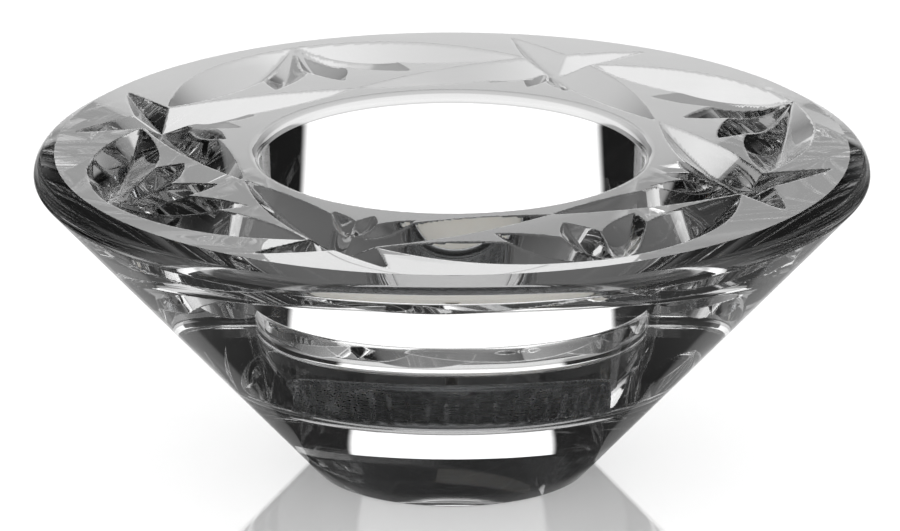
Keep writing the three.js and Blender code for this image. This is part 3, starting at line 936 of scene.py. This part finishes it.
class VOTIVE_OT_stage(bpy.types.Operator):
    """Sets up the pale floor, the soft studio surround and the camera at the photograph's angle"""

    bl_idname = "votive.stage"
    bl_label = "Stage"

    def execute(self, context):
        stage = context.scene.votive_stage
        self.floor(context, stage)
        self.surround(context, stage)
        self.camera(context, stage)
        context.scene.view_settings.view_transform = "Standard"
        for limit, bounces in BOUNCES.items():
            setattr(context.scene.cycles, limit, bounces)
        return {"FINISHED"}

    def floor(self, context, stage):
        """A large flat disc of polished white acrylic."""
        angle = np.linspace(0, 2 * math.pi, FLOOR_SIDES, endpoint=False)
        edge = np.stack([np.cos(angle), np.sin(angle), np.zeros(FLOOR_SIDES)], axis=1) * stage.floor_radius
        mesh = bpy.data.meshes.new("floor")
        mesh.from_pydata(edge.tolist(), [], [list(range(FLOOR_SIDES))])
        piece = bpy.data.objects.new("floor", mesh)
        context.scene.collection.objects.link(piece)
        mesh.materials.append(acrylic())

    def surround(self, context, stage):
        """White to the camera, soft light to matt surfaces, and a bright panel behind a dark room
        to what mirrors or refracts."""
        world = bpy.data.worlds.new("studio")
        world.use_nodes = True
        context.scene.world = world
        tree = world.node_tree
        tree.nodes.clear()
        place = add(tree, "ShaderNodeTexCoord")
        axes = add(tree, "ShaderNodeSeparateXYZ", Vector=place.outputs["Generated"])
        azimuth = add(tree, "ShaderNodeMath", {"operation": "ARCTAN2"}, _0=axes.outputs["X"],
                      _1=axes.outputs["Y"])
        away = add(tree, "ShaderNodeMath", {"operation": "ABSOLUTE"}, _0=azimuth.outputs[0])
        rise = add(tree, "ShaderNodeMath", {"operation": "ARCSINE"}, _0=axes.outputs["Z"])
        low, high = np.radians(PANEL_STEP)
        half = add(tree, "ShaderNodeMapRange", SMOOTH, Value=rise.outputs[0], From_Min=low, From_Max=high,
                   To_Min=stage.panel_foot, To_Max=stage.panel_head)
        past = add(tree, "ShaderNodeMath", {"operation": "SUBTRACT"}, _0=away.outputs[0],
                   _1=half.outputs[0])
        path = add(tree, "ShaderNodeLightPath")
        both = add(tree, "ShaderNodeMath", {"operation": "MINIMUM"}, _0=path.outputs["Glossy Depth"],
                   _1=path.outputs["Transmission Depth"])
        plain = add(tree, "ShaderNodeMath", LESS_THAN, _0=both.outputs[0], _1=HALF_BOUNCE)
        measures = {"away": away.outputs[0], "rise": rise.outputs[0], "past_panel": past.outputs[0]}
        total = stage.fill_level
        for light, only_plain, fades in SURROUND:
            shares = [plain.outputs[0]] if only_plain else []
            for measure, first, last, before, after in fades:
                fade = add(tree, "ShaderNodeMapRange", SMOOTH, Value=measures[measure],
                           From_Min=math.radians(first), From_Max=math.radians(last),
                           To_Min=before, To_Max=after)
                shares.append(fade.outputs[0])
            level = getattr(stage, light)
            for share in shares:
                level = add(tree, "ShaderNodeMath", MULTIPLY, _0=level, _1=share).outputs[0]
            total = add(tree, "ShaderNodeMath", {"operation": "ADD"}, _0=total, _1=level).outputs[0]
        mirrored = add(tree, "ShaderNodeBackground", Color=WHITE, Strength=total)
        soft = add(tree, "ShaderNodeBackground", Color=WHITE, Strength=stage.soft_level)
        white = add(tree, "ShaderNodeBackground", Color=WHITE, Strength=1.0)
        clear = add(tree, "ShaderNodeMath", LESS_THAN, _0=path.outputs["Diffuse Depth"], _1=HALF_BOUNCE)
        seen = add(tree, "ShaderNodeMixShader", _0=clear.outputs[0], _1=soft.outputs[0],
                   _2=mirrored.outputs[0])
        shown = add(tree, "ShaderNodeMixShader", _0=path.outputs["Is Camera Ray"], _1=seen.outputs[0],
                    _2=white.outputs[0])
        add(tree, "ShaderNodeOutputWorld", Surface=shown.outputs[0])

    def camera(self, context, stage):
        """A long lens from the front, looking down at the point on the axis that the photograph centres."""
        data = bpy.data.cameras.new("camera")
        data.sensor_width = SENSOR_WIDTH
        data.lens = stage.focal_pixels * SENSOR_WIDTH / PHOTO_WIDTH
        data.shift_x = -stage.axis_offset / PHOTO_WIDTH
        data.clip_end = CAMERA_REACH
        eye = bpy.data.objects.new("camera", data)
        tilt = stage.camera_elevation
        eye.location = (0, -stage.camera_distance * math.cos(tilt),
                        stage.target_height + stage.camera_distance * math.sin(tilt))
        eye.rotation_euler = (math.pi / 2 - tilt, 0, 0)
        context.scene.collection.objects.link(eye)
        context.scene.camera = eye


class VOTIVE_PT_panel(bpy.types.Panel):
    """Lists the operators in the 3D view's sidebar"""

    bl_label = "Votive holder"
    bl_idname = "VOTIVE_PT_panel"
    bl_space_type = "VIEW_3D"
    bl_region_type = "UI"
    bl_category = "Votive"

    def draw(self, context):
        for operator in OPERATORS:
            self.layout.operator(operator.bl_idname)


OPERATORS = (VOTIVE_OT_stage, VOTIVE_OT_glass, VOTIVE_OT_cup, VOTIVE_OT_wax, VOTIVE_OT_wick,
             VOTIVE_OT_sustainer)
SETTINGS = {"votive_glass": VotiveGlass, "votive_tealight": VotiveTealight, "votive_stage": VotiveStage}


def register():
    """Adds the settings, operators and panel."""
    for name, group in SETTINGS.items():
        bpy.utils.register_class(group)
        setattr(bpy.types.Scene, name, bpy.props.PointerProperty(type=group))
    for operator in OPERATORS:
        bpy.utils.register_class(operator)
    bpy.utils.register_class(VOTIVE_PT_panel)


def unregister():
    """Takes the settings, operators and panel away again."""
    bpy.utils.unregister_class(VOTIVE_PT_panel)
    for operator in reversed(OPERATORS):
        bpy.utils.unregister_class(operator)
    for name, group in SETTINGS.items():
        delattr(bpy.types.Scene, name)
        bpy.utils.unregister_class(group)


def main():
    register()
    bpy.ops.votive.stage()
    bpy.ops.votive.glass()
    bpy.ops.votive.cup()
    bpy.ops.votive.wax()
    bpy.ops.votive.wick()
    bpy.ops.votive.sustainer()


if __name__ == "__main__":
    main()
